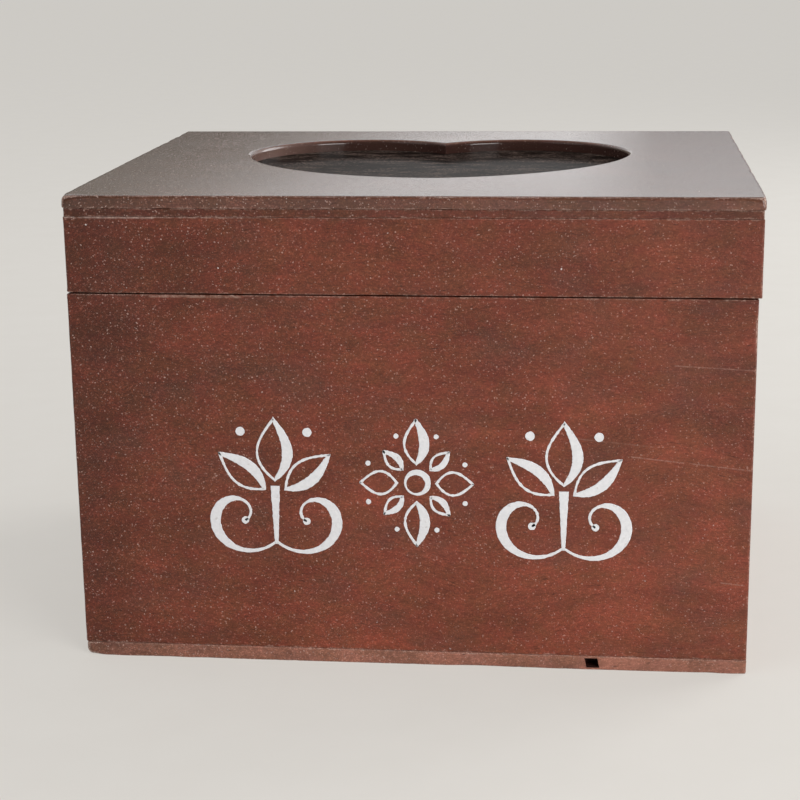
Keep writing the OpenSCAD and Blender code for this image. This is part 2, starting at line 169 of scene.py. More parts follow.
def add(tree, kind, inputs=None, **settings):
    """Adds a shader node. Each input, by name or number, takes a value or what another node gives."""
    node = tree.nodes.new("ShaderNode" + kind)
    for name, value in settings.items():
        setattr(node, name, value)
    for key, value in (inputs or {}).items():
        socket = node.inputs[key]
        if isinstance(key, str):
            socket = next(s for s in node.inputs if s.name == key and s.enabled)
        if isinstance(value, bpy.types.Node):
            value = next(s for s in value.outputs if s.enabled)
        if isinstance(value, bpy.types.NodeSocket):
            tree.links.new(value, socket)
        else:
            socket.default_value = value
    return node


def stained_pine(piece, grain, corners, sheen=0.45, gloss=0.3, dust=0.5, relief=1.0, seed=0.0,
                 tone="763828", marks=(), hollow=None):
    """Red-brown spirit stain on planed softwood under thin satin lacquer: short fine fibres along the grain,
    cloudy where the stain took unevenly, pale where an arris is rubbed through, and speckled with dust.
    grain is the axis that the fibres follow, corners are the board's, to find its edges, marks are scratches,
    each with its two ends, width, strength and colour, and hollow holds the corners of a gap painted dark
    inside with the raw core's colour and painted shade. The boards are also painted with light and shade:
    darker at the box's left, paler low down, and dark and, at its left end, pale inside a window sawn through
    them.
    Lengths inside it are in millimetres."""
    finish = bpy.data.materials.new(piece.name + "_stained_pine")
    finish.use_nodes = True
    tree = finish.node_tree
    tree.nodes.clear()
    coordinates = add(tree, "TexCoord").outputs
    place = add(tree, "VectorMath", {0: coordinates["Object"], "Scale": 1 / mm}, operation="SCALE")
    shifted = add(tree, "VectorMath", {0: place, 1: (seed, 2 * seed, 3 * seed)}, operation="ADD")
    across, _, up = add(tree, "SeparateXYZ", {0: place}).outputs

    # The fibres wander a few millimetres to the side over several centimetres.
    bend_length, bend_reach = 32, 13.0
    wander = add(tree, "TexNoise", {"Vector": shifted, "Scale": 1 / bend_length, "Detail": 1.0})
    wander = add(tree, "VectorMath", {0: wander.outputs["Color"], 1: (0.5, 0.5, 0.5)}, operation="SUBTRACT")
    wander = add(tree, "VectorMath", {0: wander, "Scale": bend_reach}, operation="SCALE")
    bent = add(tree, "VectorMath", {0: shifted, 1: wander}, operation="ADD")

    def streaks(length, width, detail, along=bent):
        """Noise whose features have that length along the grain and that width across it."""
        scale = [1 / width] * 3
        scale[grain] = 1 / length
        stretched = add(tree, "VectorMath", {0: along, 1: scale}, operation="MULTIPLY")
        return add(tree, "TexNoise", {"Vector": stretched, "Scale": 1.0, "Detail": detail, "Roughness": 0.6})

    # Stain: clouds of a few centimetres, redder and browner blotches of a few millimetres, and faint bands.
    ramp = add(tree, "ValToRGB", {"Fac": streaks(26, 11, 3.0)})
    stops = ramp.color_ramp.elements
    stops[0].position, stops[0].color = 0.3, [0.75 * c for c in linear(tone)]
    stops[1].position, stops[1].color = 0.7, [1.28 * c for c in linear(tone)]
    blotches = add(tree, "MapRange", {
        "Value": streaks(6, 4, 2.0, shifted), "From Min": 0.35, "From Max": 0.65,
        "To Min": 0.0, "To Max": 0.32})
    colour = add(tree, "Mix", {"Factor": blotches, "A": ramp, "B": linear("5d4023")}, data_type="RGBA")
    drab = add(tree, "MapRange", {
        "Value": streaks(15, 9, 2.0, shifted), "From Min": 0.5, "From Max": 0.7, "To Max": 0.3})
    colour = add(tree, "Mix", {"Factor": drab, "A": colour, "B": linear("523a32")}, data_type="RGBA")
    fibres = streaks(1.7, 0.3, 2.0)
    shade = add(tree, "MapRange", {
        "Value": streaks(60, 1.8, 3.0), "From Min": 0.3, "From Max": 0.7, "To Min": 0.93, "To Max": 1.07})
    fibre_shade = add(tree, "MapRange", {
        "Value": fibres, "From Min": 0.3, "From Max": 0.7, "To Min": 0.8, "To Max": 1.2})
    shade = add(tree, "Math", {0: shade, 1: fibre_shade}, operation="MULTIPLY")

    # Grit in the lacquer: each grain has a brightness of its own, a few are much paler than the rest, and the
    # left of the box has more of it. It is drawn at about the finest size that shows.
    grit_size = 0.28
    grit = add(tree, "TexVoronoi", {"Vector": shifted, "Scale": 1 / grit_size})
    grit = add(tree, "SeparateXYZ", {0: grit.outputs["Color"]}).outputs["X"]
    pale_grit = add(tree, "Math", {0: grit, 1: 3.0}, operation="POWER")
    pale_grit = add(tree, "Math", {0: pale_grit, 1: 0.25}, operation="SUBTRACT")
    contrast = add(tree, "MapRange", {
        "Value": across, "From Min": -80.0, "From Max": 70.0, "To Min": 0.75, "To Max": 0.4})
    gritty = add(tree, "Math", {0: pale_grit, 1: contrast, 2: 1.0}, operation="MULTIPLY_ADD")
    shade = add(tree, "Math", {0: shade, 1: gritty}, operation="MULTIPLY")

    # Painted light and shade on every board: darkest at the box's left, away from the brighter lamps at
    # the right, palest right of its middle, and paler low down, as painted light bounced up from the floor.
    left_end, right_end = -80.0, 80.0
    painted_light_drift = add(tree, "ValToRGB", {
        "Fac": add(tree, "MapRange", {"Value": across, "From Min": left_end, "From Max": right_end})})
    painted_light_drift.color_ramp.interpolation = "EASE"
    stops = painted_light_drift.color_ramp.elements
    stops[0].position, stops[0].color = 0.03, (0.56, 0.56, 0.56, 1)
    stops[1].position, stops[1].color = 1.0, (0.83, 0.83, 0.83, 1)
    for position, level in ((0.13, 0.73), (0.25, 0.81), (0.48, 0.89), (0.68, 0.88), (0.85, 0.91)):
        stops.new(position).color = (level, level, level, 1)
    painted_light_drift = add(tree, "SeparateColor", {"Color": painted_light_drift}).outputs["Red"]
    overall = 1.2
    # Painted bounce light: the boards are painted paler low down.
    painted_floor_bounce = add(tree, "MapRange", {
        "Value": up, "From Min": 5.0, "From Max": 105.0, "To Min": overall * 1.14, "To Max": overall * 0.86})
    painted_light_drift = add(tree, "Math", {0: painted_light_drift, 1: painted_floor_bounce}, operation="MULTIPLY")
    shade = add(tree, "Math", {0: shade, 1: painted_light_drift}, operation="MULTIPLY")
    colour = add(tree, "VectorMath", {0: colour, "Scale": shade}, operation="SCALE")
    glints = add(tree, "Math", {0: grit, 1: 60.0}, operation="POWER")
    glints = add(tree, "Math", {0: glints, 1: contrast}, operation="MULTIPLY")
    glints = add(tree, "Math", {0: glints, 1: 0.8}, operation="MULTIPLY")
    colour = add(tree, "Mix", {"Factor": glints, "A": colour, "B": linear("c9aea2")}, data_type="RGBA")

    # Short pores, dark with stain.
    pores = add(tree, "MapRange", {
        "Value": streaks(3.2, 0.36, 1.0), "From Min": 0.32, "From Max": 0.22, "To Max": 0.6})
    colour = add(tree, "Mix", {"Factor": pores, "A": colour, "B": linear("34190f")}, data_type="RGBA")
    patchy = add(tree, "TexNoise", {"Vector": shifted, "Scale": 1 / 1.6, "Detail": 5.0, "Roughness": 0.7})
    for start, end, width, strength, pale in marks:
        length = (end - start).length
        from_start = add(tree, "VectorMath", {0: place, 1: start}, operation="SUBTRACT")
        along = add(tree, "VectorMath", {
            0: from_start, 1: (end - start) / length ** 2}, operation="DOT_PRODUCT")
        along = add(tree, "Math", {0: along.outputs["Value"], 1: 1.0}, operation="MULTIPLY", use_clamp=True)
        nearest = add(tree, "VectorMath", {0: end - start, "Scale": along}, operation="SCALE")
        away = add(tree, "VectorMath", {0: from_start, 1: nearest}, operation="DISTANCE").outputs["Value"]
        line = add(tree, "MapRange", {
            "Value": away, "From Min": width, "From Max": 0.4 * width, "To Max": strength})
        broken = add(tree, "MapRange", {"Value": patchy, "From Min": 0.36, "From Max": 0.56})
        line = add(tree, "Math", {0: line, 1: broken}, operation="MULTIPLY")
        colour = add(tree, "Mix", {"Factor": line, "A": colour, "B": linear(pale)}, data_type="RGBA")

    # Where the board is sawn through its middle, as for a window, the end grain is painted nearly black: dark
    # with stain, and with painted shade inside the window. Towards the left it is painted paler, a painted
    # light where that wall faces the lamps at the right.
    low, high = (Vector(corner) / mm for corner in corners)
    from_low = add(tree, "VectorMath", {0: place, 1: low}, operation="SUBTRACT")
    from_high = add(tree, "VectorMath", {0: high, 1: place}, operation="SUBTRACT")
    inside = add(tree, "VectorMath", {0: from_low, 1: from_high}, operation="MINIMUM")
    inside = add(tree, "SeparateXYZ", {0: inside}).outputs
    least_xy = add(tree, "Math", {0: inside[0], 1: inside[1]}, operation="MINIMUM")
    facing_up = add(tree, "SeparateXYZ", {0: coordinates["Normal"]}).outputs["Z"]
    lying_flat = add(tree, "Math", {0: facing_up}, operation="ABSOLUTE")
    sawn = add(tree, "MapRange", {"Value": lying_flat, "From Min": 0.8, "From Max": 0.35, "To Max": 0.88})
    central = add(tree, "MapRange", {"Value": least_xy, "From Min": 3.0, "From Max": 5.0})
    sawn = add(tree, "Math", {0: sawn, 1: central}, operation="MULTIPLY")
    # Painted light: the left end of a window's wall, which faces right, is painted pale.
    painted_light_on_left_end = add(tree, "MapRange", {
        "Value": across, "From Min": -28.0, "From Max": -46.0, "To Min": 0.05, "To Max": 0.8})
    end_grain_painted_light_and_shade = add(tree, "Mix", {
        "Factor": painted_light_on_left_end, "A": linear("2b1815"), "B": linear("7d635a")}, data_type="RGBA")
    colour = add(tree, "Mix", {"Factor": sawn, "A": colour, "B": end_grain_painted_light_and_shade}, data_type="RGBA")

    # Rubbed arrises: near an edge, and wherever the surface lies inside the board's square corners.
    most_xy = add(tree, "Math", {0: inside[0], 1: inside[1]}, operation="MAXIMUM")
    depth = add(tree, "Math", {0: least_xy, 1: inside[2]}, operation="MINIMUM")
    edge = add(tree, "Math", {0: most_xy, 1: inside[2]}, operation="MINIMUM")
    edge = add(tree, "Math", {0: edge, 1: least_xy}, operation="MAXIMUM")
    reach = add(tree, "MapRange", {
        "Value": patchy, "From Min": 0.4, "From Max": 0.72, "To Min": 0.1, "To Max": 0.7})
    rubbed = add(tree, "Math", {0: reach, 1: edge}, operation="SUBTRACT")
    rubbed = add(tree, "MapRange", {"Value": rubbed, "From Min": 0.0, "From Max": 0.3, "To Max": 0.5})
    knocked = add(tree, "MapRange", {"Value": depth, "From Min": 0.09, "From Max": 0.25})
    close = add(tree, "MapRange", {"Value": edge, "From Min": 2.2, "From Max": 1.4})
    knocked = add(tree, "Math", {0: knocked, 1: close}, operation="MULTIPLY")
    worn = add(tree, "Math", {0: rubbed, 1: knocked}, operation="MAXIMUM")
    bare = add(tree, "Mix", {"Factor": grit, "A": linear("6f4b3d"), "B": linear("c2a596")}, data_type="RGBA")
    colour = add(tree, "Mix", {"Factor": worn, "A": colour, "B": bare}, data_type="RGBA")

    # Dust: a thin grey veil in drifts, thicker towards the left, with grains of about 0.4 mm, and a few
    # fluffs that are torn rather than round.
    drifts = add(tree, "TexNoise", {"Vector": shifted, "Scale": 1 / 22, "Detail": 3.0, "Roughness": 0.6})
    drifts = add(tree, "MapRange", {
        "Value": drifts, "From Min": 0.35, "From Max": 0.65, "To Min": 0.35, "To Max": 1.0})
    lean = add(tree, "MapRange", {
        "Value": across, "From Min": -80.0, "From Max": 60.0, "To Min": 1.6 * dust, "To Max": 0.7 * dust})
    drifts = add(tree, "Math", {0: drifts, 1: lean}, operation="MULTIPLY")
    veil = add(tree, "Math", {0: drifts, 1: 0.05}, operation="MULTIPLY")
    colour = add(tree, "Mix", {"Factor": veil, "A": colour, "B": linear("7d6558")}, data_type="RGBA")
    torn = add(tree, "TexNoise", {"Vector": shifted, "Scale": 1 / 0.5, "Detail": 2.0})
    torn = add(tree, "VectorMath", {0: torn.outputs["Color"], "Scale": 0.45}, operation="SCALE")
    torn = add(tree, "VectorMath", {0: shifted, 1: torn}, operation="ADD")
    cover = None
    for spot, spacing, share, size, pale in (
            (shifted, 0.45, 0.6, 0.42, "b39d92"), (torn, 2.2, 0.8, 0.11, "e0d4ce")):
        grains = add(tree, "TexVoronoi", {"Vector": spot, "Scale": 1 / spacing})
        chance = add(tree, "SeparateXYZ", {0: grains.outputs["Color"]}).outputs
        radius = add(tree, "MapRange", {
            "Value": chance["X"], "From Min": share, "From Max": 1.0, "To Max": size})
        dots = add(tree, "Math", {0: radius, 1: grains.outputs["Distance"]}, operation="SUBTRACT")
        dots = add(tree, "MapRange", {"Value": dots, "From Min": 0.0, "From Max": 0.3 * size})
        thick = add(tree, "MapRange", {"Value": chance["Y"], "To Min": 0.15, "To Max": 0.95})
        dots = add(tree, "Math", {0: dots, 1: thick}, operation="MULTIPLY")
        if cover is None:
            dots = add(tree, "Math", {0: dots, 1: drifts}, operation="MULTIPLY", use_clamp=True)
        colour = add(tree, "Mix", {"Factor": dots, "A": colour, "B": linear(pale)}, data_type="RGBA")
        cover = dots if cover is None else add(tree, "Math", {0: cover, 1: dots}, operation="MAXIMUM")

    # The gap inside the base's core is painted dark: the raw core's colour and painted shade.
    if hollow:
        hollow_low, hollow_high = (Vector(corner) / mm for corner in hollow)
        above = add(tree, "VectorMath", {0: place, 1: hollow_low}, operation="SUBTRACT")
        under = add(tree, "VectorMath", {0: hollow_high, 1: place}, operation="SUBTRACT")
        within = add(tree, "VectorMath", {0: above, 1: under}, operation="MINIMUM")
        within = add(tree, "SeparateXYZ", {0: within}).outputs
        least = add(tree, "Math", {0: within[0], 1: within[1]}, operation="MINIMUM")
        least = add(tree, "Math", {0: least, 1: within[2]}, operation="MINIMUM")
        dark = add(tree, "MapRange", {"Value": least, "From Min": 0.0, "From Max": 0.05})
        colour = add(tree, "Mix", {"Factor": dark, "A": colour, "B": linear("3a1811")}, data_type="RGBA")

    rough = add(tree, "MapRange", {"Value": cover, "To Min": sheen, "To Max": 0.8})
    rough = add(tree, "Math", {0: worn, 1: 0.7, 2: rough}, operation="MULTIPLY_ADD", use_clamp=True)
    height = add(tree, "Math", {0: fibres, 1: 0.02}, operation="MULTIPLY")
    height = add(tree, "Math", {0: pores, 1: -0.02, 2: height}, operation="MULTIPLY_ADD")
    height = add(tree, "Math", {0: pale_grit, 1: 0.012, 2: height}, operation="MULTIPLY_ADD")
    height = add(tree, "Math", {0: cover, 1: 0.03, 2: height}, operation="MULTIPLY_ADD")
    height = add(tree, "Math", {0: worn, 1: -0.03, 2: height}, operation="MULTIPLY_ADD")
    bump = add(tree, "Bump", {"Height": height, "Strength": 1.0, "Distance": relief * mm})
    shader = add(tree, "BsdfPrincipled", {
        "Base Color": colour, "Roughness": rough, "IOR": 1.5, "Specular IOR Level": gloss, "Normal": bump})
    add(tree, "OutputMaterial", {"Surface": shader})
    piece.data.materials.clear()
    piece.data.materials.append(finish)


def circle(middle, radius, count=24):
    """Places round a circle that lies flat."""
    turns = [2 * math.pi * i / count for i in range(count)]
    return [middle + Vector((radius * math.cos(t), radius * math.sin(t), 0)) for t in turns]


low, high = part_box("base_panel")
fallen_corner = (Vector((low.x, low.y, low.z)), 2.8 * mm, 1.9 * mm)
base_board = worn_board(
    "base_board", low, high, (0.2 * mm, 0.45 * mm, 0.2 * mm), 0.9 * mm, dents=[fallen_corner])
veneer, gap_x, gap_width, gap_depth, gap_lean = 0.5 * mm, 43.4 * mm, 3.1 * mm, 4 * mm, 0.5 * mm
gap_low = Vector((gap_x - gap_width / 2, low.y - mm, low.z + veneer))
gap_high = Vector((gap_x + gap_width / 2, low.y + gap_depth, high.z - veneer))
gap_sides = [
    (gap_low.x, gap_low.y), (gap_high.x, gap_low.y), (gap_high.x, gap_high.y), (gap_low.x, gap_high.y)]
cut(base_board, prism(
    [(x + gap_lean, y, gap_low.z) for x, y in gap_sides], [(x, y, gap_high.z) for x, y in gap_sides]))
# Corners of the gap's inside, which is painted dark with the raw core's colour and painted shade.
shaded = (Vector((gap_low.x - mm, low.y + 0.15 * mm, gap_low.z - 0.1 * mm)),
          Vector((gap_high.x + mm, gap_high.y + mm, gap_high.z + 0.1 * mm)))
brad_inset, wall, brad_head_r, brad_head_t = 20 * mm, 6 * mm, 1.15 * mm, 0.7 * mm
wall_low, wall_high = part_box("front_panel")[0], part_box("back_panel")[1]
brad_x, brad_y = wall_high.x - brad_inset, wall_high.y - brad_inset - wall
brad_places = [(x, side * (wall_high.y - wall / 2)) for x in (-brad_x, 0, brad_x) for side in (-1, 1)]
brad_places += [(side * (wall_high.x - wall / 2), y) for y in (-brad_y, brad_y) for side in (-1, 1)]
for x, y in brad_places:
    cut(base_board, prism(
        circle(Vector((x, y, -mm)), brad_head_r), circle(Vector((x, y, brad_head_t)), brad_head_r)))
stained_pine(base_board, 0, (low, high), dust=0.9, seed=11.0, tone="925f4f", hollow=shaded)
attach(base_board, "box")
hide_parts("base_panel")

# Brads
# Bright steel brads, driven up through the base board into the walls and set just below its face.
# Drawn wire with a flat head, dull with a first bloom of rust.


def metal(name, light, dark, roughness, streak):
    """A drawn or rolled metal, cloudy with tarnish and lined along the way it was worked."""
    finish = bpy.data.materials.new(name)
    finish.use_nodes = True
    tree = finish.node_tree
    tree.nodes.clear()
    place = add(tree, "TexCoord").outputs["Object"]
    place = add(tree, "VectorMath", {0: place, "Scale": 1 / mm}, operation="SCALE")
    tarnish = add(tree, "TexNoise", {"Vector": place, "Scale": 1 / 2.5, "Detail": 4.0, "Roughness": 0.65})
    tarnish = add(tree, "MapRange", {"Value": tarnish, "From Min": 0.35, "From Max": 0.7})
    colour = add(tree, "Mix", {"Factor": tarnish, "A": linear(light), "B": linear(dark)}, data_type="RGBA")
    lines = add(tree, "VectorMath", {0: place, 1: streak}, operation="MULTIPLY")
    lines = add(tree, "TexNoise", {"Vector": lines, "Scale": 1.0, "Detail": 2.0})
    rough = add(tree, "MapRange", {"Value": tarnish, "To Min": roughness, "To Max": roughness + 0.25})
    bump = add(tree, "Bump", {"Height": lines, "Strength": 1.0, "Distance": 0.01 * mm})
    shader = add(tree, "BsdfPrincipled", {
        "Base Color": colour, "Metallic": 1.0, "Roughness": rough, "Normal": bump})
    add(tree, "OutputMaterial", {"Surface": shader})
    return finish


def dress(finish, *nodes):
    """Puts a finish on CAD nodes."""
    for node in nodes:
        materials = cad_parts[node].data.materials
        materials.clear()
        materials.append(finish)


dress(metal("bright_steel_wire", "a9a8a4", "6d625a", 0.3, (4, 4, 4)), "base_brads")

# Front, back and side panels
# Planed boards, 6 mm thick, glued at rebated corners: the front and back lap over the ends of the sides.
# Inside they are grooved for the dividers, and their upper edges make the rim that the lid shuts on.
wall_arris = (0.15 * mm, 0.5 * mm, 0.2 * mm)
groove, groove_depth = 1.6 * mm, 2 * mm
rim_top = wall_high.z + mm


def lapped_board(name, node, ends, arris, wear, seed, marks=(), dents=()):
    """A long board of a rebated corner, cut back for the ends of the two short boards between such boards."""
    low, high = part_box(node)
    board = worn_board(name, low, high, arris, wear, dents=dents)
    back = low.y > 0
    for end in ends:
        end_low, end_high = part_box(end)
        right = end_low.x > 0
        cut(board, block(
            Vector((end_low.x - (0 if right else mm), low.y - mm if back else end_low.y, low.z - mm)),
            Vector((end_high.x + (mm if right else 0), end_high.y if back else high.y + mm, high.z + mm))))
    stained_pine(board, 0, (low, high), seed=seed, marks=marks)
    return board


def mark(start, end, width, strength, colour):
    """A mark on the front, between two places given as across and up in millimetres."""
    face = wall_low.y / mm
    return Vector((start[0], face, start[1])), Vector((end[0], face, end[1])), width, strength, colour


body_sides = ("left_panel", "right_panel")
front_marks = [
    mark((61.6, 74.8), (79.4, 73.9), 0.22, 0.4, "a0786a"),
    mark((37.9, 57.3), (57.0, 55.5), 0.2, 0.35, "a0786a"),
    mark((52.2, 53.0), (79.5, 50.2), 0.22, 0.45, "a98072"),
    mark((73.5, 22.7), (79.1, 22.1), 0.2, 0.45, "a98072"),
    mark((67.7, 16.0), (73.3, 15.2), 0.25, 0.6, "3a1a12"),
    mark((-60.0, 89.9), (-38.7, 89.9), 0.4, 0.6, "a98a7a")]
front_board = lapped_board(
    "front_board", "front_panel", body_sides, wall_arris, 0.7 * mm, 23.0, marks=front_marks)
back_board = lapped_board("back_board", "back_panel", body_sides, wall_arris, 0.7 * mm, 37.0)
for board, node, inner in ((front_board, "front_panel", 1), (back_board, "back_panel", 0)):
    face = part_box(node)[inner].y
    cut(board, block(Vector((-groove, face - groove_depth, wall_low.z - mm)),
                     Vector((groove, face + groove_depth, rim_top))))
    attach(board, "box")
    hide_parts(node)
for name, node, inner, seed in (("left_board", "left_panel", 1, 41.0),
                                ("right_board", "right_panel", 0, 53.0)):
    low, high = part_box(node)
    board = worn_board(name, low, high, (0.15 * mm, 0.15 * mm, 0.2 * mm), 0.5 * mm)
    face = (low, high)[inner].x
    cut(board, block(Vector((face - groove_depth, -groove, low.z - mm)),
                     Vector((face + groove_depth, groove, rim_top))))
    stained_pine(board, 1, (low, high), seed=seed)
    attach(board, "box")
    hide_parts(node)

# Painted ornaments
# Three motifs in white gouache on the front panel, laid on with a fine brush through a stencil: thin strokes
# that swell to thick ones on their right side. The film stands a tenth of a millimetre proud. Lengths in this
# section are in millimetres, apart from the film's.
film = 0.11 * mm
front_face = wall_low.y


def brush(made, path, widths, closed=False):
    """Adds a stroke of paint along a path on the front face, as wide at each of its points as widths says."""
    count = len(path)
    rings = []
    for i, point in enumerate(path):
        before = path[i - 1] if i or closed else point
        after = path[(i + 1) % count] if i < count - 1 or closed else point
        tangent = (after - before).normalized()
        side = Vector((-tangent.y, tangent.x))
        ragged = 0.13 * noise.noise(Vector((point.x, point.y, 3)) * 1.9)
        half = max(0.12, widths[i] / 2 + ragged)
        shape = ((half + 0.03, -0.2), (half, 0.6), (max(half - 0.07, 0.04), 1.0))
        shape += tuple((-across, up) for across, up in reversed(shape))
        ring = []
        for across, up in shape:
            spot = point + side * across
            ring.append(made.verts.new((spot.x * mm, front_face - film * up, spot.y * mm)))
        rings.append(ring)
    size = len(rings[0])
    for i in range(count if closed else count - 1):
        here, there = rings[i], rings[(i + 1) % count]
        for k in range(size):
            made.faces.new((here[k], there[k], there[(k + 1) % size], here[(k + 1) % size]))
    if not closed:
        made.faces.new(rings[0])
        made.faces.new(rings[-1][::-1])


def leaf(made, base, tip, bulge, thin=0.55, thick=2.5):
    """An outlined leaf from base to tip, its right side thick and its left side thin."""
    steps = 36
    lengthwise = tip - base
    sideways = Vector((lengthwise.y, -lengthwise.x)).normalized()
    path, widths = [], []
    for side in (1, -1):
        for i in range(steps):
            t = i / steps if side > 0 else 1 - i / steps
            swell = math.sin(math.pi * t ** 0.85)
            lit = side * sideways.x > 0
            widths.append(thin + (thick - thin) * swell if lit else thin)
            inset = widths[-1] / 2
            path.append(base + lengthwise * t + sideways * side * max(0.0, bulge * swell - inset))
    brush(made, path, widths, closed=True)


def scroll(made, foot, eye, way, thin=0.6, thick=2.5):
    """A scroll that leaves a foot, swings outward and winds up round its eye, to the right or, with way -1,
    to the left."""
    steps = 70
    start = foot - eye
    begin, reach, sweep = math.atan2(start.y, way * start.x), start.length, math.radians(375)
    path, widths = [], []
    for i in range(steps + 1):
        t = i / steps
        angle = begin + sweep * t
        radius = 1.7 + (reach - 1.7) * (1 - t) ** 1.5
        path.append(eye + radius * Vector((way * math.cos(angle), math.sin(angle))))
        widths.append(thin + (thick - thin) * math.sin(math.pi * min(1, 1.45 * t)) ** 2)
    brush(made, path, widths)
    dot(made, path[-1], 0.9)


def dot(made, middle, radius):
    """A round dab of paint."""
    turns = [math.pi * (i / 12 - 0.5) for i in range(13)]
    brush(made, [middle + Vector((radius * math.sin(t), 0)) for t in turns],
          [2 * radius * math.cos(t) for t in turns])


def sprig(made, centre):
    """A three-leaved sprig over two scrolls."""
    leaf(made, centre + Vector((0, 0)), centre + Vector((0, 15.5)), 4.4)
    for side in (-1, 1):
        leaf(made, centre + Vector((side * 2.4, -2.2)), centre + Vector((side * 13.5, 6.8)), 3.4)
        scroll(made, centre + Vector((side * 0.3, -15.4)), centre + Vector((side * 8.4, -8.6)), side)
        dot(made, centre + Vector((side * 8.0, 12.0)), 1.1)
    stem = [centre + Vector((0, -15.8 + i * 0.5)) for i in range(30)]
    brush(made, stem, [0.8 + 0.05 * i for i in range(30)])


def rosette(made, centre):
    """An eight-petalled flower with dots between its petals."""
    for i in range(8):
        angle = math.radians(45 * i)
        out = Vector((math.sin(angle), math.cos(angle)))
        long_petal = i % 2 == 0
        reach = (15.8 if i % 4 == 0 else 13.6) if long_petal else 11.2
        leaf(made, centre + 4.6 * out, centre + reach * out, 3.1 if long_petal else 1.9,
             thick=2.4 if long_petal else 1.5)
    ring = [math.radians(15 * i) for i in range(24)]
    brush(made, [centre + 2.7 * Vector((math.cos(t), math.sin(t))) for t in ring],
          [1.0 - 0.5 * math.cos(t + 2.4) for t in ring], closed=True)
    for i in range(8):
        angle = math.radians(45 * i + 22.5)
        dot(made, centre + 12.4 * Vector((math.sin(angle), math.cos(angle))), 0.6)


def gouache():
    """Matt white paint, a little chalky, with the wood's dirt worked into it."""
    finish = bpy.data.materials.new("white_gouache")
    finish.use_nodes = True
    tree = finish.node_tree
    tree.nodes.clear()
    place = add(tree, "TexCoord").outputs["Object"]
    place = add(tree, "VectorMath", {0: place, "Scale": 1 / mm}, operation="SCALE")
    chalk = add(tree, "TexNoise", {"Vector": place, "Scale": 1 / 0.7, "Detail": 4.0})
    colour = add(tree, "Mix", {
        "Factor": chalk, "A": linear("d6d6d6"), "B": linear("f2f0f0")}, data_type="RGBA")
    dirt = add(tree, "TexNoise", {"Vector": place, "Scale": 1 / 1.1, "Detail": 3.0})
    dirt = add(tree, "MapRange", {"Value": dirt, "From Min": 0.66, "From Max": 0.8, "To Max": 0.5})
    colour = add(tree, "Mix", {"Factor": dirt, "A": colour, "B": linear("a8988e")}, data_type="RGBA")
    bump = add(tree, "Bump", {"Height": chalk, "Strength": 1.0, "Distance": 0.03 * mm})
    shader = add(tree, "BsdfPrincipled", {"Base Color": colour, "Roughness": 0.75, "Normal": bump})
    add(tree, "OutputMaterial", {"Surface": shader})
    return finish


white = gouache()
band_z = 45.6
for name, draw, across in (
        ("left_sprig", sprig, -31.8), ("rosette", rosette, 2.0), ("right_sprig", sprig, 36.6)):
    made = bmesh.new()
    draw(made, Vector((across, band_z)))
    motif = finished(name + "_paint", made)
    motif.data.materials.append(white)
    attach(motif, "box")

# Dividers and glazing beads
# Thin strips of the same softwood, wiped once with thinned stain and left without lacquer, so they look
# paler and dry. The dividers lap across each other and sit in the panels' grooves. The beads are pinned under
# the pane.


def thin_stain(node, grain, seed):
    """Softwood under one thin coat of stain: its grain shows as fine dark lines, and its surface is dull."""
    finish = bpy.data.materials.new(node + "_thin_stained_pine")
    finish.use_nodes = True
    tree = finish.node_tree
    tree.nodes.clear()
    place = add(tree, "TexCoord").outputs["Object"]
    place = add(tree, "VectorMath", {0: place, "Scale": 1 / mm}, operation="SCALE")
    place = add(tree, "VectorMath", {0: place, 1: (seed, 2 * seed, 3 * seed)}, operation="ADD")
    scale = [1 / 0.5] * 3
    scale[grain] = 1 / 18
    fine = add(tree, "VectorMath", {0: place, 1: scale}, operation="MULTIPLY")
    fine = add(tree, "TexNoise", {"Vector": fine, "Scale": 1.0, "Detail": 3.0})
    scale = [1 / 5] * 3
    scale[grain] = 1 / 60
    broad = add(tree, "VectorMath", {0: place, 1: scale}, operation="MULTIPLY")
    broad = add(tree, "TexNoise", {"Vector": broad, "Scale": 1.0, "Detail": 3.0})
    mixed = add(tree, "Math", {0: fine, 1: 0.5, 2: broad}, operation="MULTIPLY_ADD")
    tone = add(tree, "ValToRGB", {"Fac": mixed})
    stops = tone.color_ramp.elements
    stops[0].position, stops[0].color = 0.55, linear("74452f")
    stops[1].position, stops[1].color = 0.95, linear("a0714f")
    bump = add(tree, "Bump", {"Height": fine, "Strength": 1.0, "Distance": 0.03 * mm})
    shader = add(tree, "BsdfPrincipled", {"Base Color": tone, "Roughness": 0.7, "Normal": bump})
    add(tree, "OutputMaterial", {"Surface": shader})
    dress(finish, node)


for node, grain, seed in (("long_divider", 0, 3.0), ("cross_divider", 1, 5.0), ("bead_front", 0, 7.0),
                          ("bead_back", 0, 9.0), ("bead_left", 1, 13.0), ("bead_right", 1, 17.0)):
    thin_stain(node, grain, seed)
dress(metal("pin_wire", "a9a8a4", "6d625a", 0.3, (4, 4, 4)), "bead_pins")

